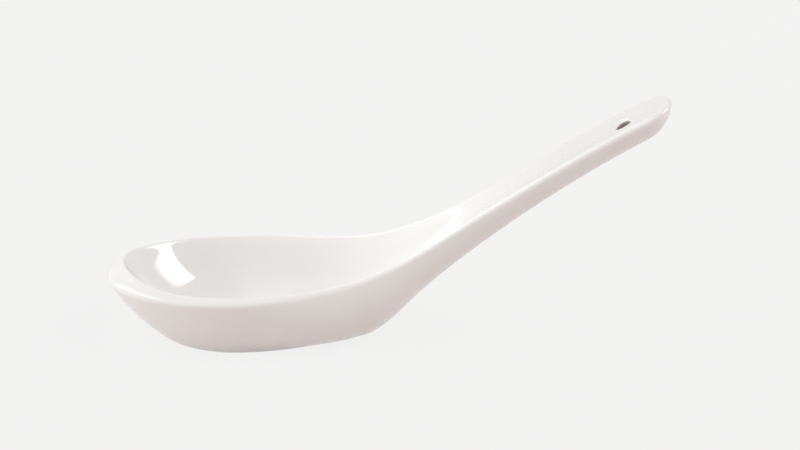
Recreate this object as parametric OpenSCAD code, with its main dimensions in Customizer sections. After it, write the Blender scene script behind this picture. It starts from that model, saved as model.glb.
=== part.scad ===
// A one-piece porcelain rice spoon: a flat-footed bowl whose thick lip sweeps up into
// a tapering handle with a shallow channel along its top and a drilled hanging hole.
// The origin is the middle of the foot, on the table. +X runs to the handle and +Z is up.

/* [Bowl] */
// Width over the lip at the widest place
bowl_w = 44; // [40:0.5:48]
// Reach of the nose in front of the widest place
nose_l = 29.8; // [27:0.1:34]
// Bluntness of the nose seen from above, where 2 is an ellipse
nose_power = 2.15; // [2:0.05:2.8]
// Height of the lip's crest, at its inner edge, over the table along the bowl
rim_h = 16.3; // [14:0.1:19]
// Further rise of the crest at the tip of the nose
nose_rise = 2.1; // [0.5:0.1:2.5]
// Thickness of the floor under the bowl
floor_t = 3.2; // [2.6:0.1:4.2]
// Swell of the outer wall away from a straight line, in degrees
wall_swell = 11.5; // [5:0.5:14]
// Flatness of the hollow's floor across the spoon, as a share of its half-width
floor_flatness = 0.62; // [0.5:0.02:0.7]
// Slant of the hollow's wall in the bowl, as a share of its half-width
wall_slant = 0.22; // [0.15:0.01:0.3]

/* [Lip] */
// Width of the lip at the sides of the bowl
lip_side_w = 2.6; // [2.3:0.1:3.6]
// Width of the lip at the tip of the nose
lip_nose_w = 3.5; // [3:0.1:5]
// Bluntness of the lip's inner edge at the nose seen from above, where 2 is an ellipse
crest_power = 1.95; // [1.8:0.05:2.2]
// Width of the lip along the handle, beside the channel
lip_handle_w = 1.6; // [1.5:0.1:2.2]
// Fall of the lip from its crest to its outer edge round the bowl
lip_fall = 1; // [0.5:0.1:1.6]
// The same fall along the handle
lip_handle_fall = 0.4; // [0.1:0.1:0.7]
// Radius of the lip's outer edge
lip_r = 1.2; // [0.8:0.1:1.4]
// Radius of the lip's inner edge, where the hollow starts
lip_inner_r = 0.7; // [0.5:0.1:1]

/* [Foot] */
// Width of the flat foot
foot_w = 28; // [25:0.5:31]
// Reach of the foot in front of the widest place
foot_front = 17; // [15:0.5:19]
// Reach of the foot behind the widest place, to the heel
foot_back = 30; // [28:0.5:33]
// Bluntness of the foot's front seen from above, where 2 is an ellipse
foot_power = 1.85; // [1.8:0.05:2.2]
// Sharpness of the foot's taper to the heel, where 0.5 is an ellipse
foot_taper = 0.95; // [0.6:0.05:1.1]
// Radius round the edge of the foot
foot_r = 1; // [0.5:0.1:1.5]

/* [Handle] */
// Reach of the handle's end behind the widest place
handle_reach = 102.7; // [90:0.1:115]
// Height of the handle's end over the table
end_h = 59.2; // [48:0.1:68]
// Upward bow of the handle between the bend and the end
handle_bow = 1.4; // [0:0.1:2]
// Distance from the widest place to the middle of the bend
bend_reach = 34; // [31:0.1:37]
// Softness of the bend, where more is gentler
bend_soft = 13.9; // [12:0.1:19]
// Distance from the widest place to the neck, where the handle's straight taper starts
neck_reach = 61.4; // [56:0.1:64]
// Fullness of the shoulders between the bowl and the neck
shoulder_power = 1.05; // [1:0.05:1.4]
// Width of the handle at the neck
neck_w = 15.4; // [12.5:0.1:17]
// Width of the handle at its end
end_w = 13.8; // [12:0.1:16]
// Depth of the handle from its edges to its keel at the neck
neck_t = 7.3; // [5:0.1:8]
// Depth of the handle from its edges to its keel at the end
end_t = 6.4; // [4.8:0.1:7.5]
// Lean of the handle's cross-sections, as a slope
section_lean = 0.25; // [0.1:0.05:0.65]
// Distance in which the thick heel thins out into the handle
heel_fade = 10.4; // [9:0.1:15]
// Softness of the heel's corner, where the underside leaves the table
heel_soft = 7.5; // [2:0.5:12]

/* [Channel] */
// Distance from the widest place to where the floor starts to climb
ramp_start = 17; // [12:0.5:24]
// Distance from the widest place to where the climb has become the channel
ramp_end = 57; // [52:0.5:62]
// Depth of the channel at the neck
channel_neck_d = 1.3; // [0.6:0.1:1.6]
// Depth of the channel at the handle's end
channel_end_d = 0.8; // [0.3:0.1:1]
// Slant of the channel's sides, as a share of its half-width
channel_slant = 0.5; // [0.35:0.05:0.6]
// Distance from the widest place to where the channel starts to be creased along its middle
crease_start = 47; // [42:0.5:52]
// Sharpness of that crease, where 0 is a round channel
crease_power = 0.35; // [0.1:0.05:0.5]

/* [Hanging hole] */
// Diameter of the hole
hole_d = 3.5; // [2.5:0.1:4.5]
// Distance along the handle's top from its end to the middle of the hole
hole_inset = 12.7; // [11:0.5:18]
// Width of the softened edge round the hole
hole_edge = 0.4; // [0.2:0.1:0.6]

/* [Hidden] */

porcelain = [0.95, 0.94, 0.93];

nose_steps = 14;
body_steps = 42;
end_steps = 7;
floor_steps = 10;
corner_steps = 4;
wall_steps = 9;
hole_steps = 48;

// Power of the sine by which the crest rises towards the nose
nose_rise_power = 6;

// Reach of the curves that pull the hollow's wall down, and its floor out beside the crease
wall_reach = 0.6;
crease_reach = 0.3;

wide_x = (foot_front - foot_back) / 2;
nose_x = wide_x - nose_l;
heel_x = wide_x + foot_back;
bend_x = wide_x + bend_reach;
neck_x = wide_x + neck_reach;
end_x = wide_x + handle_reach;
cap_r = end_w / 2;
cap_x = end_x - cap_r;
cap_power = 2.2;
hole_x = end_x - hole_inset * cos(top_angle(end_x));

last_station = nose_steps + body_steps + end_steps;

function clamp(u) = min(1, max(0, u));
function mix(a, b, t) = a + (b - a) * t;
function ease(u) = let (t = clamp(u)) t * t * (3 - 2 * t);

// Radius of a superellipse of the given two reaches, in the direction whose cosine and sine these are
function oval(cosine, reach_a, sine, reach_b, power) =
    pow(pow(cosine / reach_a, power) + pow(sine / reach_b, power), -1 / power);

// Points of a curve pulled towards one corner, or towards two, without the last point
function corner_curve(a, b, c, steps) =
    [for (i = [0:steps - 1]) let (t = i / steps, s = 1 - t) s * s * a + 2 * s * t * b + t * t * c];
function pulled_curve(a, b, c, d, steps) =
    [for (i = [0:steps - 1]) let (t = i / steps, s = 1 - t)
        s * s * s * a + 3 * s * s * t * b + 3 * s * t * t * c + t * t * t * d];

// The height of the lip's crest: level along the bowl, then bending up into the handle
function climb(x) = let (a = x - bend_x) (a + sqrt(a * a + bend_soft * bend_soft)) / 2;
function bow(x) = let (u = max(0, (x - bend_x) / (end_x - bend_x))) 6.75 * u * u * (1 - u) * handle_bow;
function lip_z(x) =
    rim_h + (end_h - rim_h) * (climb(x) - climb(nose_x)) / (climb(end_x) - climb(nose_x)) + bow(x);
function top_slope(x) = lip_z(x + 0.5) - lip_z(x - 0.5);
function top_angle(x) = atan(top_slope(x));

// Half-width of the lip and of the foot behind the widest place
function along_handle(x) = (x - neck_x) / (end_x - neck_x);
function handle_half(x) = mix(neck_w, end_w, along_handle(x)) / 2;
function lip_half(x) =
    let (u = clamp((x - wide_x) / neck_reach))
    handle_half(x) + (bowl_w / 2 - handle_half(wide_x)) * (1 + cos(180 * pow(u, shoulder_power))) / 2;
function foot_half(x) =
    let (u = clamp((x - wide_x) / foot_back)) foot_w / 2 * pow(1 - u * u, foot_taper);

// Height of the keel: flat on the table up to the heel, then climbing as the heel thins out
function handle_t(x) = mix(neck_t, end_t, along_handle(x));
function heel_t(x) =
    (lip_z(heel_x) - handle_t(heel_x) + heel_soft) * exp((heel_x - x) / heel_fade);
function keel_z(x) =
    let (z = lip_z(x) - handle_t(x) - heel_t(x))
    x <= heel_x ? 0 : z > heel_soft ? z : pow(z + heel_soft, 2) / (4 * heel_soft);

// Half of a cross-section as [distance from the middle, depth under the crest], from the middle of
// the top, over the lip and down the outer wall to the middle of the underside.
// sides = [lip half-width, foot half-width, lip width], depths = [underside, hollow, lip's fall],
// bends = [turn of the outer wall in degrees, slant of the hollow's wall, crease]
function half_section(sides, depths, bends) =
    let (
        half = sides[0],
        foot = sides[1],
        deep = depths[0],
        hollow = depths[1],
        edge = [half - sides[2], 0],
        wall = [-bends[1] * edge[0], wall_reach * hollow],
        wall_top = edge + lip_inner_r / norm(wall) * wall,
        fall = depths[2] / sides[2],
        land_ends = [min(edge[0] + lip_inner_r, half - lip_r), half - lip_r],
        land = [for (x = land_ends) [x, fall * (x - edge[0])]],
        floor_reach = mix(floor_flatness, crease_reach, bends[2]),
        floor_pull = [floor_reach * edge[0], hollow * (1 - crease_power * bends[2])],
        outer_top = [half, depths[2] + lip_r],
        chord = [half - foot, deep - outer_top[1]],
        tilt = atan2(chord[0], chord[1]),
        turn = min(bends[0], 90 - tilt),
        first = tilt - turn,
        last = tilt + turn,
        radius = norm(chord) / (2 * sin(turn)),
        outer_edge = outer_top + lip_r / (1 + fall * tan(first)) * [tan(first), -1],
        toe = [foot, deep],
        toe_r = min(foot_r, foot / 2),
        toe_in = toe - [toe_r, 0]
    )
    concat(
        pulled_curve([0, hollow], floor_pull, edge + wall, wall_top, floor_steps),
        corner_curve(wall_top, edge, land[0], corner_steps),
        [land[0]],
        corner_curve(land[1], outer_edge, outer_top, corner_steps),
        [for (i = [0:wall_steps - 1]) let (a = first + 2 * turn * i / wall_steps)
            outer_top + radius * [cos(a) - cos(first), sin(a) - sin(first)]],
        corner_curve(toe + toe_r * [sin(last), -cos(last)], toe, toe_in, corner_steps),
        [toe_in, [0, deep]]
    );

// A fan of upright half-sections turns round the widest place to make the nose
function nose_station(i) =
    let (
        a = 90 - 90 * i / nose_steps,
        ahead = sin(a),
        aside = cos(a),
        half = oval(ahead, nose_l, aside, bowl_w / 2, nose_power),
        foot = oval(ahead, foot_front, aside, foot_w / 2, foot_power),
        rise = nose_rise * pow(ahead, nose_rise_power),
        z = lip_z(wide_x - half * ahead) + rise,
        crest = oval(ahead, nose_l - lip_nose_w, aside, bowl_w / 2 - lip_side_w, crest_power),
        depths = [z, z - floor_t, lip_fall + rise]
    )
    [for (p = half_section([half, foot, half - crest], depths, [wall_swell, wall_slant, 0]))
        [wide_x - p[0] * ahead, -p[0] * aside, z - p[1]]];

// What the body and the end cap share: the section's shape at a place along the spoon
function narrowing(x) = ease((x - wide_x) / neck_reach);
function body_sides(x) = [lip_half(x), foot_half(x), mix(lip_side_w, lip_handle_w, narrowing(x))];
function climbing(x) = ease((x - wide_x - ramp_start) / (ramp_end - ramp_start));
function creasing(x) = ease((x - wide_x - crease_start) / (neck_reach - crease_start));
function body_depths(x) =
    let (channel = mix(channel_neck_d, channel_end_d, along_handle(x)))
    [
        lip_z(x) - keel_z(x),
        mix(lip_z(x) - floor_t, channel, climbing(x)),
        mix(lip_fall, lip_handle_fall, narrowing(x))
    ];
function body_bends(x, sides, depths) =
    let (
        tilt = atan2(sides[0] - sides[1], depths[0] - depths[2] - lip_r),
        rounding = ease((x - wide_x) / foot_back)
    )
    [mix(wall_swell, 90 - tilt, rounding), mix(wall_slant, channel_slant, climbing(x)), creasing(x)];
function body_lean(x) = section_lean * ease((x - heel_x) / (neck_x - heel_x));

function body_station(x) =
    let (sides = body_sides(x), depths = body_depths(x), lean = body_lean(x))
    [for (p = half_section(sides, depths, body_bends(x, sides, depths)))
        [x + p[1] * lean, -p[0], lip_z(x) - p[1]]];

// A second fan rounds off the handle's end
function end_station(i) =
    let (
        a = 90 * i / end_steps,
        onward = sin(a),
        aside = cos(a),
        half = oval(onward, cap_r, aside, lip_half(cap_x), cap_power),
        sides = [half, 0, lip_handle_w],
        depths = body_depths(cap_x),
        lean = body_lean(cap_x),
        slope = top_slope(cap_x)
    )
    [for (p = half_section(sides, depths, body_bends(cap_x, sides, depths)))
        [cap_x + p[0] * onward + p[1] * lean, -p[0] * aside, lip_z(cap_x) + p[0] * onward * slope - p[1]]];

function station(i) =
    i < nose_steps ? nose_station(i)
    : i <= nose_steps + body_steps ? body_station(mix(wide_x, cap_x, (i - nose_steps) / body_steps))
    : end_station(i - nose_steps - body_steps);

// The skin of the spoon: a ring of points round each station, near side first and far side back.
// The middle points of a fan are one point, and the first and last rings are folded flat.
module body() {
    stations = [for (i = [0:last_station]) station(i)];
    half_count = len(stations[0]);
    ring = 2 * half_count - 2;

    function place(i, j) =
        let (
            side = j % ring < half_count ? j % ring : ring - j % ring,
            middle = side == 0 || side == half_count - 1,
            flat = i == 0 || i == last_station,
            at = middle ? min(max(i, nose_steps), nose_steps + body_steps) : i
        )
        at * ring + (middle || flat ? side : j % ring);

    function corners(i, j) = [place(i, j), place(i + 1, j), place(i + 1, j + 1), place(i, j + 1)];
    function proper(t) = t[0] != t[1] && t[1] != t[2] && t[2] != t[0];

    points = [for (s = stations, j = [0:ring - 1])
        j < half_count ? s[j] : [s[ring - j][0], -s[ring - j][1], s[ring - j][2]]];
    triangles = [for (i = [0:last_station - 1], j = [0:ring - 1])
        let (c = corners(i, j))
        each [[c[0], c[2], c[1]], [c[0], c[3], c[2]]]];

    polyhedron(points = points, faces = [for (t = triangles) if (proper(t)) t]);
}

// The drilled hole, square to the handle's top, with both its edges softened
module hanging_hole() {
    angle = top_angle(hole_x);
    square_depth = cos(angle) + body_lean(hole_x) * sin(angle);
    under_d = body_depths(hole_x)[0] * square_depth;
    top_d = body_depths(hole_x)[1] * square_depth;
    cut = 2 * hole_edge;
    mouth_d = hole_d + 2 * cut;
    translate([hole_x, 0, lip_z(hole_x)])
        rotate([0, -angle, 0]) {
            translate([0, 0, -under_d - end_t])
                cylinder(d = hole_d, h = under_d + 2 * end_t, $fn = hole_steps);
            translate([0, 0, -top_d - hole_edge])
                cylinder(d1 = hole_d, d2 = mouth_d, h = cut, $fn = hole_steps);
            translate([0, 0, hole_edge - under_d - cut])
                cylinder(d1 = mouth_d, d2 = hole_d, h = cut, $fn = hole_steps);
        }
}

module spoon() {
    color(porcelain)
        difference() {
            body();
            hanging_hole();
        }
}

spoon();
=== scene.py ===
"""Builds a porcelain rice spoon, its glaze and its studio, as a Blender add-on run as a script."""

import math

import bmesh
import bpy
from mathutils import Matrix, Vector


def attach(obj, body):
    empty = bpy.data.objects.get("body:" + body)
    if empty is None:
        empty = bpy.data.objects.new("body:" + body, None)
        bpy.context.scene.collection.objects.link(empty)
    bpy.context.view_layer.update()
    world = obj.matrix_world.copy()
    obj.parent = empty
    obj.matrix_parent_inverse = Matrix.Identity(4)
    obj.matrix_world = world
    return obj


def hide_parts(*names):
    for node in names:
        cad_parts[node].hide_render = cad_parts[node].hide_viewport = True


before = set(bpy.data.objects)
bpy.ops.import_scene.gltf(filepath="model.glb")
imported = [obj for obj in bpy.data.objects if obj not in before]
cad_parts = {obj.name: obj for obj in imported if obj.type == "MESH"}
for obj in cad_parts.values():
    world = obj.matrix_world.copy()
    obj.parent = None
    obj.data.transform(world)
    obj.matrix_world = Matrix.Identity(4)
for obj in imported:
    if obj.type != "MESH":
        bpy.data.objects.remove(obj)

bl_info = {
    "name": "Porcelain rice spoon",
    "version": (1, 0, 0),
    "blender": (4, 5, 0),
    "location": "View3D > Sidebar > Rice spoon",
    "description": "Models a porcelain rice spoon with its glaze, and sets up a pale studio round it",
    "category": "Object",
}

SPOON_NODE = "spoon"
PHOTO_WIDTH = 800

# The mesh attribute that says how deep the glaze lies, and its value in each part of the spoon.
GLAZE_DEPTH = "glaze_depth"
# The bore's value also marks where the material paints the hole's shade.
DEPTH_IN_BORE = -1.0
DEPTH_ON_LIP = 0.0
DEPTH_ON_WALL = 0.5
DEPTH_IN_BOWL = 1.0

# Points closer than this, in metres, are one, and steeper folds than this angle shade as edges.
MERGE_DISTANCE = 1e-6
SHARP_ANGLE = math.radians(35)


def length(name, description, default):
    """A size or a distance, in metres."""
    return bpy.props.FloatProperty(
        name=name,
        description=description,
        default=default,
        unit="LENGTH",
        subtype="DISTANCE",
        precision=5,
    )


def share(name, description, default):
    """A plain number, such as an exponent or a share of a size."""
    return bpy.props.FloatProperty(name=name, description=description, default=default, precision=3)


def angle(name, description, degrees):
    """An angle, given here in degrees."""
    return bpy.props.FloatProperty(
        name=name,
        description=description,
        default=math.radians(degrees),
        unit="ROTATION",
        subtype="ANGLE",
    )


def power(name, description, default):
    """The power of a lamp, in watts."""
    return bpy.props.FloatProperty(name=name, description=description, default=default, unit="POWER")


def colour(name, description, default):
    """A colour, in linear values."""
    return bpy.props.FloatVectorProperty(
        name=name, description=description, default=default, size=3, min=0, max=1, subtype="COLOR"
    )


class RiceSpoonSizes(bpy.types.PropertyGroup):
    """The spoon's real sizes. Places along the spoon are measured from the bowl's widest place."""

    bowl_width: length("Bowl width", "Width over the lip at the widest place", 0.044)
    nose_length: length("Nose length", "Reach of the nose in front of the widest place", 0.0298)
    nose_power: share("Nose bluntness", "Bluntness of the nose seen from above; 2 is an ellipse", 2.15)
    lip_height: length("Lip height", "Height of the lip's crest, at its inner edge", 0.0163)
    nose_rise: length("Nose rise", "Further rise of the crest at the tip of the nose", 0.0021)
    floor_thickness: length("Floor thickness", "Thickness of the floor under the bowl", 0.0032)
    wall_swell: angle("Wall swell", "Swell of the outer wall away from a straight line", 11.5)
    floor_flatness: share("Floor flatness", "Flat part of the hollow's floor, over its half-width", 0.62)
    wall_slant: share("Wall slant", "Slant of the hollow's wall, as a share of its half-width", 0.22)
    lip_side: length("Lip width, sides", "Width of the lip at the sides of the bowl", 0.0026)
    lip_nose: length("Lip width, nose", "Width of the lip at the nose", 0.0035)
    lip_handle: length("Lip width, handle", "Width of the lip beside the channel", 0.0016)
    lip_fall: length("Lip fall", "Fall of the lip from its crest to its outer edge round the bowl", 0.001)
    lip_fall_handle: length("Lip fall, handle", "The same fall along the handle", 0.0004)
    crest_power: share("Crest bluntness", "Bluntness of the lip's inner edge at the nose", 1.95)
    nose_rise_power: share("Rise spread", "Power by which the crest rises towards the nose", 6)
    lip_outer_radius: length("Outer lip radius", "Radius of the lip's outer edge", 0.0012)
    lip_inner_radius: length("Inner lip radius", "Radius of the lip's inner edge", 0.0007)
    foot_width: length("Foot width", "Width of the flat foot", 0.028)
    foot_front: length("Foot front", "Reach of the foot in front of the widest place", 0.017)
    foot_back: length("Foot back", "Reach of the foot behind the widest place, to the heel", 0.03)
    foot_power: share("Foot bluntness", "Bluntness of the foot's front seen from above", 1.85)
    foot_taper: share("Foot taper", "Sharpness of the taper to the heel; 0.5 is an ellipse", 0.95)
    foot_radius: length("Foot radius", "Radius round the edge of the foot", 0.001)
    handle_reach: length("Handle reach", "Reach of the handle's end behind the widest place", 0.1027)
    end_height: length("End height", "Height of the handle's end over the table", 0.0592)
    handle_bow: length("Handle bow", "Upward bow of the handle between the bend and the end", 0.0014)
    bend_reach: length("Bend place", "Distance from the widest place to the middle of the bend", 0.034)
    bend_softness: length("Bend softness", "Softness of the bend, where more is gentler", 0.0139)
    neck_reach: length("Neck place", "Distance from the widest place to the neck", 0.0614)
    shoulder_power: share("Shoulder fullness", "Fullness between the bowl and the neck", 1.05)
    neck_width: length("Neck width", "Width of the handle at the neck", 0.0154)
    end_width: length("End width", "Width of the handle at its end", 0.0138)
    end_power: share("End bluntness", "Bluntness of the handle's end seen from above", 2.2)
    neck_depth: length("Neck depth", "Depth of the handle from its edges to its keel at the neck", 0.0073)
    end_depth: length("End depth", "Depth of the handle from its edges to its keel at the end", 0.0064)
    section_lean: share("Section lean", "Lean of the handle's cross-sections, as a slope", 0.25)
    heel_fade: length("Heel fade", "Distance in which the thick heel thins out into the handle", 0.0104)
    heel_softness: length("Heel softness", "Softness of the heel's corner", 0.0075)
    ramp_start: length("Ramp start", "Distance to where the hollow's floor starts to climb", 0.017)
    ramp_end: length("Ramp end", "Distance to where the climb has become the channel", 0.057)
    channel_neck: length("Channel depth, neck", "Depth of the channel at the neck", 0.0013)
    channel_end: length("Channel depth, end", "Depth of the channel at the handle's end", 0.0008)
    channel_slant: share("Channel slant", "Slant of the channel's sides, over its half-width", 0.5)
    crease_start: length("Crease start", "Distance to where the channel starts to be creased", 0.047)
    crease_power: share("Crease sharpness", "Sharpness of the channel's crease; 0 is round", 0.35)
    wall_reach: share("Wall pull", "Reach of the curve that pulls the hollow's wall down", 0.6)
    crease_reach: share("Crease pull", "Reach of the curve that runs out from the crease", 0.3)
    hole_width: length("Hole width", "Diameter of the hanging hole", 0.0035)
    hole_inset: length("Hole inset", "Distance along the handle from its end to the hole", 0.0127)
    hole_edge: length("Hole edge", "Width of the softened edge round the hole", 0.0004)


class RiceSpoonGlaze(bpy.types.PropertyGroup):
    """The colours and finish of the porcelain."""

    glaze_colour: colour("Glaze colour", "White of the glazed porcelain", (0.825, 0.808, 0.797))
    pool_colour: colour("Pooled colour", "Cooler white where the glaze has pooled", (0.845, 0.828, 0.818))
    thin_colour: colour("Thin colour", "Warmer white where the glaze runs thin", (0.845, 0.825, 0.811))
    bare_colour: colour("Bare colour", "Unglazed porcelain under the foot", (0.760, 0.725, 0.690))
    # Painted shade: the bore is coloured dark, standing in for the shade inside the hanging hole.
    bore_shade_colour: colour("Bore colour", "Dull dark porcelain inside the hanging hole", (0.44, 0.38, 0.34))
    speck_colour: colour("Speck colour", "Tiny dark specks in the porcelain", (0.45, 0.37, 0.30))
    glaze_roughness: share("Glaze roughness", "Roughness of the clear glaze", 0.06)
    glaze_ior: share("Glaze refraction", "Refractive index of the clear glaze", 1.6)
    glaze_gloss: share("Glaze gloss", "Strength of the glaze's reflections, where 0.5 is plain", 0.75)
    bare_roughness: share("Bare roughness", "Roughness of the unglazed foot", 0.7)
    bare_height: length("Bare height", "Height over the table up to which the foot is unglazed", 0.00025)
    grain_size: length("Grain size", "Size of the grains of the unglazed foot", 0.00035)
    grain_height: length("Grain height", "Height of the grains of the unglazed foot", 0.00002)
    wave_size: length("Wave size", "Width of the faint waves in the glaze", 0.007)
    wave_height: length("Wave height", "Height of the faint waves in the glaze", 0.00002)
    speck_spacing: length("Speck spacing", "Distance between the places that may hold a speck", 0.0024)
    speck_size: length("Speck size", "Radius of a speck", 0.0001)
    speck_share: share("Speck share", "Share of those places that hold a speck", 0.3)
    uneven_shade: share("Uneven shade", "How much darker the glaze gets where it is uneven", 0.012)


class RiceSpoonStudio(bpy.types.PropertyGroup):
    """The camera, the floor, the light of the room and the lamps."""

    view_height: angle("View height", "Angle of the camera over the table", 22)
    view_distance: length("View distance", "Distance from the camera to what it looks at", 1.5)
    look_right: length("Look right", "How far right of the foot the camera looks", 0.0328)
    look_up: length("Look up", "How far over the foot the camera looks, square to its view", 0.0251)
    pixels_per_metre: share("Scale", "Pixels of the picture to a metre at the foot", 4200)
    backdrop: colour("Backdrop", "Pale grey seen on the floor and round it", (0.913, 0.913, 0.912))
    sheet: colour("Floor sheet", "Warm white of the sheet on the floor", (0.800, 0.715, 0.690))
    sheet_reach: length("Sheet reach", "Distance from the middle of the sheet to each side", 4)
    sheet_shade: share("Sheet shade", "How much darker the sheet gets where it is uneven", 0.006)
    sheet_patch: length("Sheet patch", "Size of the sheet's uneven patches", 0.25)
    shadow_share: share("Shadow share", "How much of the floor's own shading the camera sees", 0.08)
    room_light: share("Room light", "Strength of the light of the room's five sides", 1.92)
    left_side: colour("Left side", "Light of the room's left side", (0.69, 0.695, 0.695))
    right_side: colour("Right side", "Light of the room's right side", (0.29, 0.262, 0.245))
    front_left: colour("Front left", "Light of the room's front left side", (0.33, 0.33, 0.33))
    back_side: colour("Back side", "Light of the room's back side", (0.05, 0.05, 0.05))
    ceiling: colour("Ceiling", "Light of the room's ceiling", (0.06, 0.06, 0.06))
    left_power: power("Left softbox", "Power of the left softbox", 1.75)
    right_power: power("Right softbox", "Power of the right softbox", 1.5)
    spot_power: power("Climb spot", "Power of the spot on the climb of the hollow", 13)


def clamp(value):
    """The value, kept between 0 and 1."""
    return min(1.0, max(0.0, value))


def mix(low, high, part):
    """The value at this part of the way from low to high."""
    return low + (high - low) * part


def ease(value):
    """Turns an even rise from 0 to 1 into one that starts and ends softly."""
    part = clamp(value)
    return part * part * (3 - 2 * part)


def oval(cosine, reach_a, sine, reach_b, power):
    """Radius of a superellipse of two reaches, in the direction of this cosine and sine."""
    return ((abs(cosine) / reach_a) ** power + (abs(sine) / reach_b) ** power) ** (-1 / power)


def corner_curve(start, corner, end, steps):
    """Points from start towards end, pulled to one corner, without the end itself."""
    points = []
    for step in range(steps):
        t = step / steps
        s = 1 - t
        points.append(s * s * start + 2 * s * t * corner + t * t * end)
    return points


def pulled_curve(start, pull_a, pull_b, end, steps):
    """Points from start towards end, pulled to two corners, without the end itself."""
    points = []
    for step in range(steps):
        t = step / steps
        s = 1 - t
        points.append(s**3 * start + 3 * s * s * t * pull_a + 3 * s * t * t * pull_b + t**3 * end)
    return points


class SpoonForm:
    """Works out the spoon's cross-sections. X runs along the spoon, and the foot is at Z 0."""

    # Steps along the spoon.
    nose_steps = 28
    body_steps = 84
    end_steps = 14

    # Steps round a half-section: across the hollow, round each of its three corners and down its wall.
    floor_steps = 16
    corner_steps = 5
    wall_steps = 14

    # Distance to each side of a place over which the slope of the lip is taken.
    slope_step = 0.0005

    # The handle's bow follows t * t * (1 - t), and this brings its highest value to 1.
    bow_scale = 27 / 4

    # The glaze is thin round the lip and pooled round the middle of the hollow. A start over 1 keeps
    # the middle even, and a fade is a share of the steps of a corner or of the hollow.
    thin_start = 1.3
    thin_fade = 1.5
    pool_start = 1.1
    pool_fade = 0.8

    def __init__(self, sizes):
        self.sizes = sizes
        self.wide_x = (sizes.foot_front - sizes.foot_back) / 2
        self.nose_x = self.wide_x - sizes.nose_length
        self.heel_x = self.wide_x + sizes.foot_back
        self.bend_x = self.wide_x + sizes.bend_reach
        self.neck_x = self.wide_x + sizes.neck_reach
        self.end_x = self.wide_x + sizes.handle_reach
        self.cap_radius = sizes.end_width / 2
        self.cap_x = self.end_x - self.cap_radius
        self.stations = self.nose_steps + self.body_steps + self.end_steps
        single_points = 3
        self.half_ring = self.floor_steps + 3 * self.corner_steps + self.wall_steps + single_points

    def climb(self, x):
        """The bend's own rise: level well before the bend, and 1 in 1 well behind it."""
        ahead = x - self.bend_x
        return (ahead + math.hypot(ahead, self.sizes.bend_softness)) / 2

    def lip_z(self, x):
        """Height of the lip, level along the bowl and then bending up into the handle."""
        sizes = self.sizes
        start = self.climb(self.nose_x)
        risen = (self.climb(x) - start) / (self.climb(self.end_x) - start)
        along = max(0.0, (x - self.bend_x) / (self.end_x - self.bend_x))
        bow = self.bow_scale * along * along * (1 - along) * sizes.handle_bow
        return mix(sizes.lip_height, sizes.end_height, risen) + bow

    def top_slope(self, x):
        """Slope of the lip along the spoon."""
        step = self.slope_step
        return (self.lip_z(x + step) - self.lip_z(x - step)) / (2 * step)

    def along_handle(self, x):
        """How far along the handle a place is: 0 at the neck and 1 at the end."""
        return (x - self.neck_x) / (self.end_x - self.neck_x)

    def handle_half(self, x):
        """Half the width of the handle's taper, carried on under the bowl."""
        return mix(self.sizes.neck_width, self.sizes.end_width, self.along_handle(x)) / 2

    def lip_half(self, x):
        """Half the width over the lip."""
        sizes = self.sizes
        part = clamp((x - self.wide_x) / sizes.neck_reach) ** sizes.shoulder_power
        shoulder = (1 + math.cos(math.pi * part)) / 2
        return self.handle_half(x) + (sizes.bowl_width / 2 - self.handle_half(self.wide_x)) * shoulder

    def foot_half(self, x):
        """Half the width of the foot, which runs out at the heel."""
        part = clamp((x - self.wide_x) / self.sizes.foot_back)
        return self.sizes.foot_width / 2 * (1 - part * part) ** self.sizes.foot_taper

    def handle_depth(self, x):
        """Depth of the handle from its edges to its keel."""
        return mix(self.sizes.neck_depth, self.sizes.end_depth, self.along_handle(x))

    def keel_z(self, x):
        """Height of the underside's middle, flat on the table up to the heel."""
        if x <= self.heel_x:
            return 0.0
        soft = self.sizes.heel_softness
        thick = self.lip_z(self.heel_x) - self.handle_depth(self.heel_x) + soft
        fade = math.exp((self.heel_x - x) / self.sizes.heel_fade)
        z = self.lip_z(x) - self.handle_depth(x) - thick * fade
        return z if z > soft else (z + soft) ** 2 / (4 * soft)

    def half_section(self, sides, depths, bends):
        """Half of a cross-section, as points of a distance from the middle and a depth under the crest.
        It runs from the middle of the top, over the lip and down the wall, to the underside's middle."""
        sizes = self.sizes
        half, foot, lip = sides
        deep, hollow, drop = depths
        swell, slant, crease = bends
        outer = sizes.lip_outer_radius
        edge = Vector((half - lip, 0))
        wall = Vector((-slant * edge.x, sizes.wall_reach * hollow))
        wall_top = edge + sizes.lip_inner_radius * wall.normalized()
        fall = drop / lip
        land_x = min(edge.x + sizes.lip_inner_radius, half - outer)
        land = Vector((land_x, fall * (land_x - edge.x)))
        land_end = Vector((half - outer, fall * (lip - outer)))
        floor = Vector((0, hollow))
        floor_pull = Vector((
            mix(sizes.floor_flatness, sizes.crease_reach, crease) * edge.x,
            hollow * (1 - sizes.crease_power * crease),
        ))
        outer_top = Vector((half, drop + outer))
        chord = Vector((half - foot, deep - outer_top.y))
        tilt = math.atan2(chord.x, chord.y)
        turn = min(swell, math.pi / 2 - tilt)
        first = tilt - turn
        last = tilt + turn
        radius = chord.length / (2 * math.sin(turn))
        outer_edge = outer_top + outer / (1 + fall * math.tan(first)) * Vector((math.tan(first), -1))
        toe = Vector((foot, deep))
        toe_radius = min(sizes.foot_radius, foot / 2)
        toe_out = toe + toe_radius * Vector((math.sin(last), -math.cos(last)))
        toe_in = toe - Vector((toe_radius, 0))
        points = pulled_curve(floor, floor_pull, edge + wall, wall_top, self.floor_steps)
        points += corner_curve(wall_top, edge, land, self.corner_steps)
        points.append(land)
        points += corner_curve(land_end, outer_edge, outer_top, self.corner_steps)
        for step in range(self.wall_steps):
            now = first + 2 * turn * step / self.wall_steps
            swing = Vector((math.cos(now) - math.cos(first), math.sin(now) - math.sin(first)))
            points.append(outer_top + radius * swing)
        points += corner_curve(toe_out, toe, toe_in, self.corner_steps)
        points += [toe_in, Vector((0, deep))]
        return points

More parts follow.
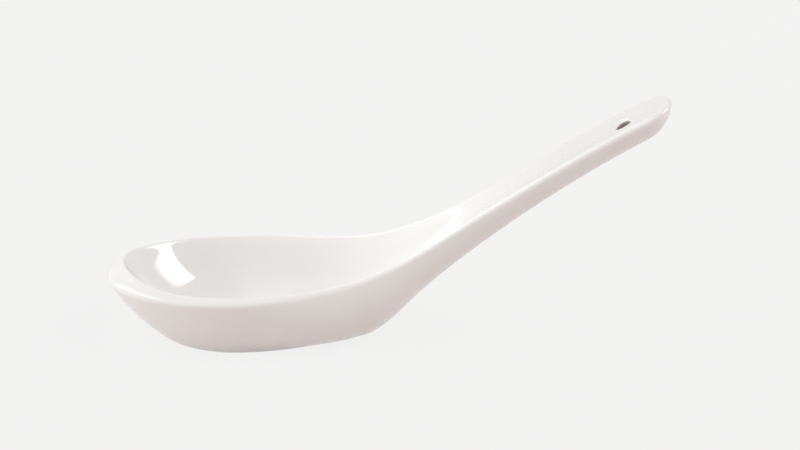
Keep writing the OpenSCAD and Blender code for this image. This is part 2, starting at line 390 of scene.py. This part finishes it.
    def nose_station(self, i):
        """One upright half-section of the fan that turns round the widest place to make the nose."""
        sizes = self.sizes
        turn = math.pi / 2 * (1 - i / self.nose_steps)
        ahead = math.sin(turn)
        aside = math.cos(turn)
        half = oval(ahead, sizes.nose_length, aside, sizes.bowl_width / 2, sizes.nose_power)
        foot = oval(ahead, sizes.foot_front, aside, sizes.foot_width / 2, sizes.foot_power)
        rise = sizes.nose_rise * ahead**sizes.nose_rise_power
        z = self.lip_z(self.wide_x - half * ahead) + rise
        crest_reach = sizes.nose_length - sizes.lip_nose
        crest = oval(ahead, crest_reach, aside, sizes.bowl_width / 2 - sizes.lip_side, sizes.crest_power)
        depths = (z, z - sizes.floor_thickness, sizes.lip_fall + rise)
        bends = (sizes.wall_swell, sizes.wall_slant, 0)
        section = self.half_section((half, foot, half - crest), depths, bends)
        return [Vector((self.wide_x - p.x * ahead, -p.x * aside, z - p.y)) for p in section]

    def narrowing(self, x):
        """How far the lip has changed from the bowl's to the handle's at this place."""
        return ease((x - self.wide_x) / self.sizes.neck_reach)

    def climbing(self, x):
        """How far the hollow has changed from the bowl's to the channel at this place."""
        sizes = self.sizes
        return ease((x - self.wide_x - sizes.ramp_start) / (sizes.ramp_end - sizes.ramp_start))

    def body_depths(self, x):
        """Depths of the underside, the hollow and the lip's outer edge under the crest."""
        sizes = self.sizes
        channel = mix(sizes.channel_neck, sizes.channel_end, self.along_handle(x))
        z = self.lip_z(x)
        return (
            z - self.keel_z(x),
            mix(z - sizes.floor_thickness, channel, self.climbing(x)),
            mix(sizes.lip_fall, sizes.lip_fall_handle, self.narrowing(x)),
        )

    def body_bends(self, x, sides, depths):
        """Swell of the outer wall, slant of the inner wall and sharpness of the crease."""
        sizes = self.sizes
        half, foot, _ = sides
        deep, _, drop = depths
        tilt = math.atan2(half - foot, deep - drop - sizes.lip_outer_radius)
        rounding = ease((x - self.wide_x) / sizes.foot_back)
        creasing = ease((x - self.wide_x - sizes.crease_start) / (sizes.neck_reach - sizes.crease_start))
        return (
            mix(sizes.wall_swell, math.pi / 2 - tilt, rounding),
            mix(sizes.wall_slant, sizes.channel_slant, self.climbing(x)),
            creasing,
        )

    def body_lean(self, x):
        """How far a cross-section leans, upright at the heel and leaning fully at the neck."""
        return self.sizes.section_lean * ease((x - self.heel_x) / (self.neck_x - self.heel_x))

    def body_station(self, x):
        """One half-section of the bowl behind its widest place, the climb or the handle."""
        sizes = self.sizes
        lip = mix(sizes.lip_side, sizes.lip_handle, self.narrowing(x))
        sides = (self.lip_half(x), self.foot_half(x), lip)
        depths = self.body_depths(x)
        lean = self.body_lean(x)
        z = self.lip_z(x)
        section = self.half_section(sides, depths, self.body_bends(x, sides, depths))
        return [Vector((x + p.y * lean, -p.x, z - p.y)) for p in section]

    def end_station(self, i):
        """One half-section of the fan that rounds off the handle's end."""
        sizes = self.sizes
        x = self.cap_x
        turn = math.pi / 2 * i / self.end_steps
        onward = math.sin(turn)
        aside = math.cos(turn)
        half = oval(onward, self.cap_radius, aside, self.lip_half(x), sizes.end_power)
        sides = (half, 0.0, sizes.lip_handle)
        depths = self.body_depths(x)
        lean = self.body_lean(x)
        rise = onward * self.top_slope(x)
        z = self.lip_z(x)
        section = self.half_section(sides, depths, self.body_bends(x, sides, depths))
        return [
            Vector((x + p.x * onward + p.y * lean, -p.x * aside, z + p.x * rise - p.y))
            for p in section
        ]

    def station(self, i):
        """The half-section at step i of the whole way from the nose to the handle's end."""
        if i < self.nose_steps:
            return self.nose_station(i)
        if i <= self.nose_steps + self.body_steps:
            part = (i - self.nose_steps) / self.body_steps
            return self.body_station(mix(self.wide_x, self.cap_x, part))
        return self.end_station(i - self.nose_steps - self.body_steps)

    def glaze_depth(self, side, x):
        """Depth of the glaze at a point of a half-section: 0 on the lip, 0.5 on a wall, 1 in the bowl."""
        lip = self.floor_steps + self.corner_steps
        thin = ease(self.thin_start - abs(side - lip) / (self.thin_fade * self.corner_steps))
        in_bowl = ease((self.neck_x - x) / self.sizes.foot_back)
        pooled = ease(self.pool_start - side / (self.pool_fade * self.floor_steps)) * in_bowl
        return DEPTH_ON_WALL + (pooled - thin) / 2

    def hole_place(self):
        """Where the hanging hole's axis meets the lip's height, and how steep the handle is there."""
        x = self.end_x - self.sizes.hole_inset * math.cos(math.atan(self.top_slope(self.end_x)))
        return Vector((x, 0, self.lip_z(x))), math.atan(self.top_slope(x))


def mesh_from(bm, name):
    """Turns a bmesh into a mesh, and frees it."""
    mesh = bpy.data.meshes.new(name)
    bm.to_mesh(mesh)
    bm.free()
    return mesh


def put_in_scene(name, data):
    """Makes an object of a mesh, a lamp or a camera."""
    piece = bpy.data.objects.new(name, data)
    bpy.context.scene.collection.objects.link(piece)
    return piece


def skin_of(form):
    """The spoon's closed skin: a grid laid along and round it, with its seam and poles closed."""
    ring = 2 * form.half_ring - 2
    rows = [form.station(i) for i in range(form.stations + 1)]
    half_side = 0.5
    bm = bmesh.new()
    bmesh.ops.create_grid(bm, x_segments=ring, y_segments=form.stations, size=half_side)
    depth = bm.verts.layers.float.new(GLAZE_DEPTH)
    for vert in bm.verts:
        around = round((vert.co.x + half_side) * ring) % ring
        row = rows[round((vert.co.y + half_side) * form.stations)]
        near = around < form.half_ring
        side = around if near else ring - around
        point = row[side]
        vert.co = (point.x, point.y if near else -point.y, point.z)
        vert[depth] = form.glaze_depth(side, point.x)
    bmesh.ops.remove_doubles(bm, verts=bm.verts, dist=MERGE_DISTANCE)
    bmesh.ops.recalc_face_normals(bm, faces=bm.faces)
    return mesh_from(bm, "spoon_skin")


def hole_cutter(form):
    """A waisted plug, spun round the hole's axis, that cuts the bore and softens both its edges.
    Each end is rounded outwards from the bore, and then runs on as a cone until it is clear."""
    around_steps = 96
    round_steps = 5
    round_turn = math.radians(60)
    cone_rise = math.tan(math.radians(30))
    sizes = form.sizes
    place, slope = form.hole_place()
    deep, hollow, _ = form.body_depths(place.x)
    square = math.cos(slope) + form.body_lean(place.x) * math.sin(slope)
    radius = sizes.hole_width / 2
    edge = sizes.hole_edge
    cone_width = 3 * edge
    flare = []
    for step in range(round_steps + 1):
        turn = round_turn * step / round_steps
        flare.append((radius + edge * (1 - math.cos(turn)), edge * math.sin(turn)))
    last = flare[-1]
    flare.append((last[0] + cone_width, last[1] + cone_width * cone_rise))
    top = -hollow * square - edge
    under = -deep * square + edge
    profile = [(x, under - z) for x, z in reversed(flare)] + [(x, top + z) for x, z in flare]
    bm = bmesh.new()
    verts = [bm.verts.new((x, 0, z)) for x, z in profile]
    edges = [bm.edges.new(pair) for pair in zip(verts, verts[1:])]
    bmesh.ops.spin(
        bm,
        geom=verts + edges,
        cent=(0, 0, 0),
        axis=(0, 0, 1),
        angle=math.tau,
        steps=around_steps,
        use_merge=True,
    )
    bmesh.ops.holes_fill(bm, edges=[e for e in bm.edges if e.is_boundary], sides=0)
    bmesh.ops.recalc_face_normals(bm, faces=bm.faces)
    stand = Matrix.Translation(place) @ Matrix.Rotation(-slope, 4, "Y")
    bmesh.ops.transform(bm, matrix=stand, verts=bm.verts)
    return mesh_from(bm, "hole_cutter")


def mark_bore(mesh, form):
    """Sets the depth of the glaze inside the hanging hole, up to a share of its softened edges. There the
    material paints the bore dark, as painted shade.
    """
    edge_share = 0.2
    place, slope = form.hole_place()
    axis = Vector((-math.sin(slope), 0, math.cos(slope)))
    reach = form.sizes.hole_width / 2 + edge_share * form.sizes.hole_edge
    depth = mesh.attributes[GLAZE_DEPTH].data
    for vert in mesh.vertices:
        offset = vert.co - place
        if (offset - offset.dot(axis) * axis).length < reach:
            depth[vert.index].value = DEPTH_IN_BORE


def link(tree, output, socket):
    tree.links.new(output, socket)


def node(tree, kind, place, **values):
    """A shader node at a place in the tree, with its plain settings and its input values."""
    made = tree.nodes.new(kind)
    made.location = place
    for name, value in values.items():
        if hasattr(made, name):
            setattr(made, name, value)
        else:
            made.inputs[name.replace("_", " ")].default_value = value
    return made


def mottle_group():
    """A soft uneven shade of a colour, with a height that goes with it, for the glaze and the floor."""
    name = "soft_mottle"
    if name in bpy.data.node_groups:
        return bpy.data.node_groups[name]
    tree = bpy.data.node_groups.new(name, "ShaderNodeTree")
    for label, kind, value in (
        ("Vector", "NodeSocketVector", None),
        ("Colour", "NodeSocketColor", (0.8, 0.8, 0.8, 1)),
        ("Shade", "NodeSocketFloat", 0.02),
        ("Size", "NodeSocketFloat", 0.01),
    ):
        socket = tree.interface.new_socket(label, in_out="INPUT", socket_type=kind)
        if value is not None:
            socket.default_value = value
    tree.interface.new_socket("Colour", in_out="OUTPUT", socket_type="NodeSocketColor")
    tree.interface.new_socket("Height", in_out="OUTPUT", socket_type="NodeSocketFloat")
    given = node(tree, "NodeGroupInput", (-700, 0))
    given_out = node(tree, "NodeGroupOutput", (500, 0))
    frequency = node(tree, "ShaderNodeMath", (-480, -160), operation="DIVIDE")
    frequency.inputs[0].default_value = 1
    noise = node(tree, "ShaderNodeTexNoise", (-280, 0), Detail=2.5, Roughness=0.5)
    lower = node(tree, "ShaderNodeMath", (-280, -260), operation="SUBTRACT")
    lower.inputs[0].default_value = 1
    spread = node(tree, "ShaderNodeMapRange", (-80, -80), From_Min=0.3, From_Max=0.7, To_Max=1)
    tint = node(tree, "ShaderNodeVectorMath", (180, 60), operation="SCALE")
    link(tree, given.outputs["Size"], frequency.inputs[1])
    link(tree, given.outputs["Vector"], noise.inputs["Vector"])
    link(tree, frequency.outputs[0], noise.inputs["Scale"])
    link(tree, given.outputs["Shade"], lower.inputs[1])
    link(tree, noise.outputs["Fac"], spread.inputs["Value"])
    link(tree, lower.outputs[0], spread.inputs["To Min"])
    link(tree, given.outputs["Colour"], tint.inputs[0])
    link(tree, spread.outputs["Result"], tint.inputs["Scale"])
    link(tree, tint.outputs["Vector"], given_out.inputs["Colour"])
    link(tree, noise.outputs["Fac"], given_out.inputs["Height"])
    return tree


def speck_mask(tree, point, glaze):
    """Marks tiny round specks, each in the middle of a cell, in a share of the cells."""
    core_share = 0.3
    cells = node(tree, "ShaderNodeTexVoronoi", (-1280, -640), Scale=1 / glaze.speck_spacing)
    near = node(tree, "ShaderNodeMapRange", (-1060, -560))
    near.inputs["From Min"].default_value = glaze.speck_size / glaze.speck_spacing
    near.inputs["From Max"].default_value = core_share * glaze.speck_size / glaze.speck_spacing
    chosen = node(tree, "ShaderNodeMath", (-1060, -820), operation="LESS_THAN")
    chosen.inputs[1].default_value = glaze.speck_share
    split = node(tree, "ShaderNodeSeparateColor", (-1240, -900))
    mask = node(tree, "ShaderNodeMath", (-840, -640), operation="MULTIPLY")
    link(tree, point, cells.inputs["Vector"])
    link(tree, cells.outputs["Distance"], near.inputs["Value"])
    link(tree, cells.outputs["Color"], split.inputs[0])
    link(tree, split.outputs[0], chosen.inputs[0])
    link(tree, near.outputs["Result"], mask.inputs[0])
    link(tree, chosen.outputs[0], mask.inputs[1])
    return mask.outputs[0]


def blend(tree, place, part, low, high):
    """A colour mix whose part, low and high may each be a socket to link or a colour to set."""
    mixed = node(tree, "ShaderNodeMix", place, data_type="RGBA")
    sockets = (mixed.inputs["Factor"], part), (mixed.inputs["A"], low), (mixed.inputs["B"], high)
    for socket, given in sockets:
        if isinstance(given, bpy.types.NodeSocket):
            link(tree, given, socket)
        else:
            socket.default_value = (*given, 1)
    return mixed.outputs["Result"]


def seen_rays(tree, place):
    """Marks the rays that show what is round the spoon: straight ones, mirrored ones and clear ones."""
    x, y = place
    rays = node(tree, "ShaderNodeLightPath", (x - 400, y))
    either = node(tree, "ShaderNodeMath", (x - 200, y), operation="MAXIMUM")
    seen = node(tree, "ShaderNodeMath", place, operation="MAXIMUM")
    link(tree, rays.outputs["Is Camera Ray"], either.inputs[0])
    link(tree, rays.outputs["Is Glossy Ray"], either.inputs[1])
    link(tree, either.outputs[0], seen.inputs[0])
    link(tree, rays.outputs["Is Transmission Ray"], seen.inputs[1])
    return seen.outputs[0]


def depth_mask(tree, place, depth, without, full):
    """Marks where the glaze is this deep, from nothing at one depth to fully at the other."""
    mask = node(tree, "ShaderNodeMapRange", place, From_Min=without, From_Max=full)
    link(tree, depth, mask.inputs["Value"])
    return mask.outputs["Result"]


def porcelain_material(glaze):
    """Clear glaze over warm white porcelain: thin on the lip, pooled in the bowl, none under the foot
    and in the hanging hole, with faint waves, a few specks, and a fine grain where the foot is bare.
    The inside of the hanging hole is coloured dark as painted shade."""
    material = bpy.data.materials.new("glazed_porcelain")
    material.use_nodes = True
    tree = material.node_tree
    shader = tree.nodes["Principled BSDF"]
    point = node(tree, "ShaderNodeTexCoord", (-1600, 0)).outputs["Object"]

    depth = node(tree, "ShaderNodeAttribute", (-1280, 460), attribute_name=GLAZE_DEPTH).outputs["Fac"]
    pooled = depth_mask(tree, (-1060, 300), depth, DEPTH_ON_WALL, DEPTH_IN_BOWL)
    thin = depth_mask(tree, (-1060, 560), depth, DEPTH_ON_WALL, DEPTH_ON_LIP)
    shaded_bore = depth_mask(tree, (-1060, 800), depth, DEPTH_ON_LIP, DEPTH_IN_BORE)
    white = blend(tree, (-820, 320), pooled, glaze.glaze_colour, glaze.pool_colour)
    white = blend(tree, (-640, 380), thin, white, glaze.thin_colour)
    mottle = node(tree, "ShaderNodeGroup", (-440, 300), node_tree=mottle_group())
    mottle.inputs["Shade"].default_value = glaze.uneven_shade
    mottle.inputs["Size"].default_value = glaze.wave_size
    link(tree, point, mottle.inputs["Vector"])
    link(tree, white, mottle.inputs["Colour"])
    specks = speck_mask(tree, point, glaze)
    white = blend(tree, (-220, 300), specks, mottle.outputs["Colour"], glaze.speck_colour)

    fade_share = 0.2
    split = node(tree, "ShaderNodeSeparateXYZ", (-1280, -120))
    near_foot = node(tree, "ShaderNodeMapRange", (-1060, -120), interpolation_type="SMOOTHSTEP")
    near_foot.inputs["From Min"].default_value = (1 + fade_share) * glaze.bare_height
    near_foot.inputs["From Max"].default_value = (1 - fade_share) * glaze.bare_height
    bare = near_foot.outputs["Result"]
    link(tree, point, split.inputs[0])
    link(tree, split.outputs["Z"], near_foot.inputs["Value"])
    # Painted shade: the inside of the hanging hole is coloured dark, as the shade in the hole.
    white = blend(tree, (-120, 400), shaded_bore, white, glaze.bore_shade_colour)
    white = blend(tree, (-20, 240), bare, white, glaze.bare_colour)
    link(tree, white, shader.inputs["Base Color"])

    rough = node(tree, "ShaderNodeMapRange", (-220, 40))
    rough.inputs["To Min"].default_value = glaze.glaze_roughness
    rough.inputs["To Max"].default_value = glaze.bare_roughness
    link(tree, bare, rough.inputs["Value"])
    link(tree, rough.outputs["Result"], shader.inputs["Roughness"])
    shader.inputs["IOR"].default_value = glaze.glaze_ior
    shader.inputs["Specular IOR Level"].default_value = glaze.glaze_gloss

    waves = node(tree, "ShaderNodeMath", (-440, -420), operation="MULTIPLY")
    waves.inputs[1].default_value = glaze.wave_height
    grain = node(tree, "ShaderNodeTexNoise", (-840, -420), Scale=1 / glaze.grain_size, Detail=2.0)
    grains = node(tree, "ShaderNodeMath", (-640, -560), operation="MULTIPLY")
    grains.inputs[1].default_value = glaze.grain_height
    on_foot = node(tree, "ShaderNodeMath", (-440, -620), operation="MULTIPLY")
    height = node(tree, "ShaderNodeMath", (-220, -460), operation="ADD")
    bump = node(tree, "ShaderNodeBump", (-20, -300), Distance=1.0)
    link(tree, mottle.outputs["Height"], waves.inputs[0])
    link(tree, point, grain.inputs["Vector"])
    link(tree, grain.outputs["Fac"], grains.inputs[0])
    link(tree, grains.outputs[0], on_foot.inputs[0])
    link(tree, bare, on_foot.inputs[1])
    link(tree, waves.outputs[0], height.inputs[0])
    link(tree, on_foot.outputs[0], height.inputs[1])
    link(tree, height.outputs[0], bump.inputs["Height"])
    link(tree, bump.outputs["Normal"], shader.inputs["Normal"])
    return material


class RICE_SPOON_OT_make_spoon(bpy.types.Operator):
    """Model the whole spoon, bore its hanging hole and glaze it"""

    bl_idname = "rice_spoon.make_spoon"
    bl_label = "Make the spoon"

    def execute(self, context):
        form = SpoonForm(context.scene.rice_spoon_sizes)
        spoon = put_in_scene("porcelain_spoon", skin_of(form))
        smooth = spoon.modifiers.new("smooth_skin", "SUBSURF")
        smooth.levels = 1
        smooth.render_levels = 1
        cutter = put_in_scene("hole_cutter", hole_cutter(form))
        bore = spoon.modifiers.new("hanging_hole", "BOOLEAN")
        bore.operation = "DIFFERENCE"
        bore.solver = "EXACT"
        bore.object = cutter
        finished = spoon.evaluated_get(context.evaluated_depsgraph_get())
        mesh = bpy.data.meshes.new_from_object(finished)
        spoon.modifiers.clear()
        spoon.data = mesh
        bpy.data.objects.remove(cutter)
        mark_bore(mesh, form)
        mesh.shade_smooth()
        mesh.set_sharp_from_angle(angle=SHARP_ANGLE)
        mesh.materials.clear()
        mesh.materials.append(porcelain_material(context.scene.rice_spoon_glaze))
        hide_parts(SPOON_NODE)
        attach(spoon, "root")
        return {"FINISHED"}


class RICE_SPOON_OT_set_stage(bpy.types.Operator):
    """Lay the pale floor, hang the lamps and set up the camera"""

    bl_idname = "rice_spoon.set_stage"
    bl_label = "Set the stage"

    def execute(self, context):
        studio = context.scene.rice_spoon_studio
        self.lay_floor(studio)
        self.light_room(context.scene, studio)
        self.hang_lamps(studio)
        self.set_camera(context.scene, studio)
        context.scene.view_settings.view_transform = "Standard"
        return {"FINISHED"}

    def lay_floor(self, studio):
        """The sheet on the floor. What is seen of it is the backdrop's plain colour, with a share of
        the sheet's own shading and shadow."""
        bm = bmesh.new()
        bmesh.ops.create_grid(bm, x_segments=1, y_segments=1, size=studio.sheet_reach)
        floor = put_in_scene("studio_floor", mesh_from(bm, "studio_floor"))
        material = bpy.data.materials.new("pale_floor")
        material.use_nodes = True
        tree = material.node_tree
        tree.nodes.remove(tree.nodes["Principled BSDF"])
        point = node(tree, "ShaderNodeTexCoord", (-900, 0)).outputs["Object"]
        mottle = node(tree, "ShaderNodeGroup", (-680, 0), node_tree=mottle_group())
        mottle.inputs["Colour"].default_value = (*studio.sheet, 1)
        mottle.inputs["Shade"].default_value = studio.sheet_shade
        mottle.inputs["Size"].default_value = studio.sheet_patch
        paper = node(tree, "ShaderNodeBsdfDiffuse", (-440, 80))
        shown = node(tree, "ShaderNodeEmission", (-440, -80), Strength=1)
        shown.inputs["Color"].default_value = (*studio.backdrop, 1)
        part = node(tree, "ShaderNodeMath", (-240, 420), operation="MULTIPLY")
        part.inputs[1].default_value = 1 - studio.shadow_share
        laid = node(tree, "ShaderNodeMixShader", (-40, 60))
        link(tree, point, mottle.inputs["Vector"])
        link(tree, mottle.outputs["Colour"], paper.inputs["Color"])
        link(tree, seen_rays(tree, (-440, 420)), part.inputs[0])
        link(tree, part.outputs[0], laid.inputs["Fac"])
        link(tree, paper.outputs[0], laid.inputs[1])
        link(tree, shown.outputs[0], laid.inputs[2])
        link(tree, laid.outputs[0], tree.nodes["Material Output"].inputs["Surface"])
        floor.data.materials.append(material)

    def room_shades(self, tree, studio):
        """The light of the room's five sides, each fading out square to its own direction."""
        way = node(tree, "ShaderNodeTexCoord", (-1500, 0)).outputs["Generated"]
        total = None
        for row, (towards, light) in enumerate((
            ((-1, 0, 0), studio.left_side),
            ((1, 0, 0), studio.right_side),
            ((-0.75, -0.66, 0), studio.front_left),
            ((0, 1, 0), studio.back_side),
            ((0, 0, 1), studio.ceiling),
        )):
            facing = node(tree, "ShaderNodeVectorMath", (-1300, -220 * row), operation="DOT_PRODUCT")
            facing.inputs[1].default_value = towards
            link(tree, way, facing.inputs[0])
            shade = blend(tree, (-1100, -220 * row), facing.outputs["Value"], (0, 0, 0), light)
            if total is None:
                total = shade
                continue
            added = node(tree, "ShaderNodeMix", (-900, -220 * row), data_type="RGBA", blend_type="ADD")
            added.inputs["Factor"].default_value = 1
            link(tree, total, added.inputs["A"])
            link(tree, shade, added.inputs["B"])
            total = added.outputs["Result"]
        return total

    def light_room(self, scene, studio):
        """The light of the room, behind the backdrop's plain colour, which is what is seen of it."""
        world = bpy.data.worlds.new("pale_room")
        world.use_nodes = True
        tree = world.node_tree
        lit = tree.nodes["Background"]
        lit.inputs["Strength"].default_value = studio.room_light
        link(tree, self.room_shades(tree, studio), lit.inputs["Color"])
        shown = node(tree, "ShaderNodeBackground", (-200, -160), Strength=1)
        shown.inputs["Color"].default_value = (*studio.backdrop, 1)
        room = node(tree, "ShaderNodeMixShader", (60, 60))
        link(tree, seen_rays(tree, (-200, 200)), room.inputs["Fac"])
        link(tree, lit.outputs[0], room.inputs[1])
        link(tree, shown.outputs[0], room.inputs[2])
        link(tree, room.outputs[0], tree.nodes["World Output"].inputs["Surface"])
        scene.world = world

    def hang(self, name, lamp, place, aim):
        """Hangs a lamp at its place, pointing to its aim."""
        piece = put_in_scene(name, lamp)
        piece.location = place
        piece.rotation_euler = (Vector(aim) - Vector(place)).to_track_quat("-Z", "Y").to_euler()
        return piece

    def hang_softbox(self, name, place, aim, width, height, spread, watts):
        """A softbox. The smaller its spread, in degrees, the sooner its light fades out sideways."""
        lamp = bpy.data.lights.new(name, "AREA")
        lamp.shape = "RECTANGLE"
        lamp.size = width
        lamp.size_y = height
        lamp.spread = math.radians(spread)
        lamp.energy = watts
        self.hang(name, lamp, place, aim)

    def hang_lamps(self, studio):
        """A tall softbox at the left, a wide one at the right that is turned aside, so that its back
        edge fades out, and a soft spot on the climb of the hollow that leaves no highlight."""
        self.hang_softbox(
            "left_softbox",
            place=(-0.80, 0.48, 0.78),
            aim=(0.0, 0.0, 0.02),
            width=0.26,
            height=1.10,
            spread=180,
            watts=studio.left_power,
        )
        self.hang_softbox(
            "right_softbox",
            place=(0.91, 0.01, 0.82),
            aim=(0.00, 0.31, 0.01),
            width=0.80,
            height=0.60,
            spread=72,
            watts=studio.right_power,
        )
        beam = bpy.data.lights.new("climb_spot", "SPOT")
        beam.spot_size = math.radians(4.2)
        beam.spot_blend = 1
        beam.shadow_soft_size = 0.02
        beam.energy = studio.spot_power
        spot = self.hang("climb_spot", beam, place=(-0.95, 0.02, 0.50), aim=(0.029, 0.003, 0.018))
        spot.visible_glossy = False

    def set_camera(self, scene, studio):
        """The camera in front of the spoon, with a lens that gives the scale at the foot."""
        data = bpy.data.cameras.new("camera")
        camera = put_in_scene("camera", data)
        height = studio.view_height
        forward = Vector((0, math.cos(height), -math.sin(height)))
        upward = Vector((0, math.sin(height), math.cos(height)))
        target = Vector((studio.look_right, 0, 0)) + studio.look_up * upward
        camera.location = target - studio.view_distance * forward
        camera.rotation_euler = (math.pi / 2 - height, 0, 0)
        data.sensor_width = 36
        data.lens = studio.pixels_per_metre * studio.view_distance * data.sensor_width / PHOTO_WIDTH
        data.clip_start = 0.05
        data.clip_end = 50
        scene.camera = camera


class RICE_SPOON_PT_panel(bpy.types.Panel):
    """The sidebar panel that lists the steps, the sizes, the colours and the lights"""

    bl_label = "Rice spoon"
    bl_idname = "RICE_SPOON_PT_panel"
    bl_space_type = "VIEW_3D"
    bl_region_type = "UI"
    bl_category = "Rice spoon"

    def draw(self, context):
        layout = self.layout
        layout.operator(RICE_SPOON_OT_make_spoon.bl_idname)
        layout.operator(RICE_SPOON_OT_set_stage.bl_idname)
        for group in (
            context.scene.rice_spoon_sizes,
            context.scene.rice_spoon_glaze,
            context.scene.rice_spoon_studio,
        ):
            column = layout.column()
            for name in group.__annotations__:
                column.prop(group, name)


CLASSES = (
    RiceSpoonSizes,
    RiceSpoonGlaze,
    RiceSpoonStudio,
    RICE_SPOON_OT_make_spoon,
    RICE_SPOON_OT_set_stage,
    RICE_SPOON_PT_panel,
)


def register():
    for cls in CLASSES:
        bpy.utils.register_class(cls)
    bpy.types.Scene.rice_spoon_sizes = bpy.props.PointerProperty(type=RiceSpoonSizes)
    bpy.types.Scene.rice_spoon_glaze = bpy.props.PointerProperty(type=RiceSpoonGlaze)
    bpy.types.Scene.rice_spoon_studio = bpy.props.PointerProperty(type=RiceSpoonStudio)


def unregister():
    del bpy.types.Scene.rice_spoon_studio
    del bpy.types.Scene.rice_spoon_glaze
    del bpy.types.Scene.rice_spoon_sizes
    for cls in reversed(CLASSES):
        bpy.utils.unregister_class(cls)


def main():
    """Makes the spoon and its stage."""
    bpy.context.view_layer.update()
    register()
    bpy.ops.rice_spoon.make_spoon()
    bpy.ops.rice_spoon.set_stage()


if __name__ == "__main__":
    main()
